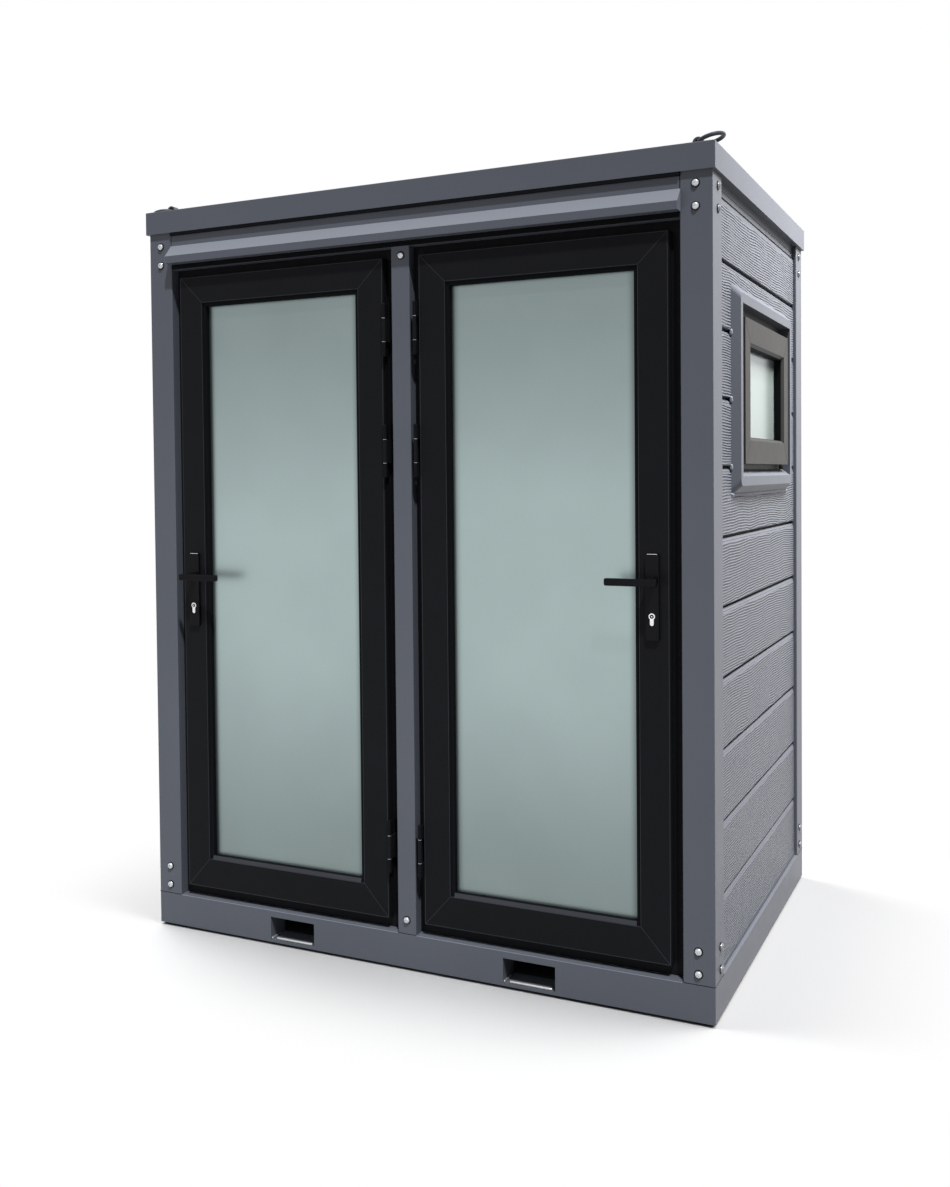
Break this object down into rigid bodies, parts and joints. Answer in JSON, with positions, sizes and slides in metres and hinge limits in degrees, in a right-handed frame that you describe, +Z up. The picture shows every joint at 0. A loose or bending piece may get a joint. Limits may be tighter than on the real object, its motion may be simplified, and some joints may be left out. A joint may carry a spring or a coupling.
{
  "type": "portable restroom",
  "caption": "Free-standing steel cabin on a fork-pocket base, with glazed doors side by side that swing outwards, boarded walls, side windows and lifting rings.",
  "frame": {"origin": "middle of the base's underside, on the ground", "axes": "+Z up, -Y out of the door front, +X to the right seen from the front"},
  "size_m": [1.8467, 1.408, 2.3342],
  "materials": {
    "frame_paint": "satin slate grey paint on folded sheet steel",
    "wall_boards": "slate grey embossed boards on an insulated panel",
    "door_black": "matt black profiles",
    "window_frame": "satin dark grey profiles",
    "frosted_glass": "frosted pale green-grey glass",
    "handle_black": "satin black coated metal",
    "hinge_black": "satin black coated steel",
    "lock_steel": "nickel plated",
    "ring_steel": "dark grey painted round bar, worn",
    "pocket_steel": "dark painted tube, worn bright at the mouth",
    "underside": "black underside coating",
    "floor": "grey sheet floor",
    "lining": "pale coated sheet lining"
  },
  "bodies": {
    "cabin": {"base_pan": "underside", "base_front_beam": "frame_paint", "base_rear_beam": "frame_paint", "base_left_beam": "frame_paint", "base_right_beam": "frame_paint", "fork_pockets": "pocket_steel", "floor_panel": "floor", "front_left_post": "frame_paint", "front_right_post": "frame_paint", "rear_left_post": "frame_paint", "rear_right_post": "frame_paint", "middle_post": "frame_paint", "front_lintel": "frame_paint", "rain_canopy": "frame_paint", "top_rails": "frame_paint", "ceiling_panel": "lining", "roof_cap": "frame_paint", "left_wall": "wall_boards", "right_wall": "wall_boards", "rear_wall": "wall_boards", "ring_saddles": "ring_steel", "left_window_trim": "frame_paint", "left_window_frame": "window_frame", "left_window_pane": "frosted_glass", "left_door_frame": "door_black", "right_window_trim": "frame_paint", "right_window_frame": "window_frame", "right_window_pane": "frosted_glass", "right_door_frame": "door_black"},
    "left_door": {"left_door_sash": "door_black", "left_door_pane": "frosted_glass", "left_door_hinges": "hinge_black", "left_handle_plates": "handle_black", "left_lock_cylinder": "lock_steel"},
    "left_handle": {"left_lever": "handle_black"},
    "right_door": {"right_door_sash": "door_black", "right_door_pane": "frosted_glass", "right_door_hinges": "hinge_black", "right_handle_plates": "handle_black", "right_lock_cylinder": "lock_steel"},
    "right_handle": {"right_lever": "handle_black"},
    "front_left_ring": {"lifting_ring_front_left": "ring_steel"},
    "front_right_ring": {"lifting_ring_front_right": "ring_steel"},
    "rear_left_ring": {"lifting_ring_rear_left": "ring_steel"},
    "rear_right_ring": {"lifting_ring_rear_right": "ring_steel"}
  },
  "joints": [
    {"name": "left_door_swing", "type": "hinge", "parent": "cabin", "child": "left_door", "pos_m": [-0.05, -0.68, 1.2], "axis": [0, 0, 1], "range_deg": [0, 85]},
    {"name": "left_lever_turn", "type": "hinge", "parent": "left_door", "child": "left_handle", "pos_m": [-0.741, -0.67, 1.139], "axis": [0, 1, 0], "range_deg": [0, 40], "stiffness_Nm_per_rad": 1.6, "springref_deg": -34.38},
    {"name": "right_door_swing", "type": "hinge", "parent": "cabin", "child": "right_door", "pos_m": [0.05, -0.68, 1.2], "axis": [0, 0, -1], "range_deg": [0, 85]},
    {"name": "right_lever_turn", "type": "hinge", "parent": "right_door", "child": "right_handle", "pos_m": [0.741, -0.67, 1.165], "axis": [0, -1, 0], "range_deg": [0, 40], "stiffness_Nm_per_rad": 1.6, "springref_deg": -34.38},
    {"name": "front_left_ring_swing", "type": "hinge", "parent": "cabin", "child": "front_left_ring", "pos_m": [-0.853, -0.61, 2.3125], "axis": [0, 1, 0], "range_deg": [0, 98]},
    {"name": "front_right_ring_swing", "type": "hinge", "parent": "cabin", "child": "front_right_ring", "pos_m": [0.853, -0.61, 2.3125], "axis": [0, -1, 0], "range_deg": [-20, 78]},
    {"name": "rear_left_ring_swing", "type": "hinge", "parent": "cabin", "child": "rear_left_ring", "pos_m": [-0.853, 0.61, 2.3125], "axis": [0, -1, 0], "range_deg": [0, 98]},
    {"name": "rear_right_ring_swing", "type": "hinge", "parent": "cabin", "child": "rear_right_ring", "pos_m": [0.853, 0.61, 2.3125], "axis": [0, 1, 0], "range_deg": [0, 98]}
  ]
}
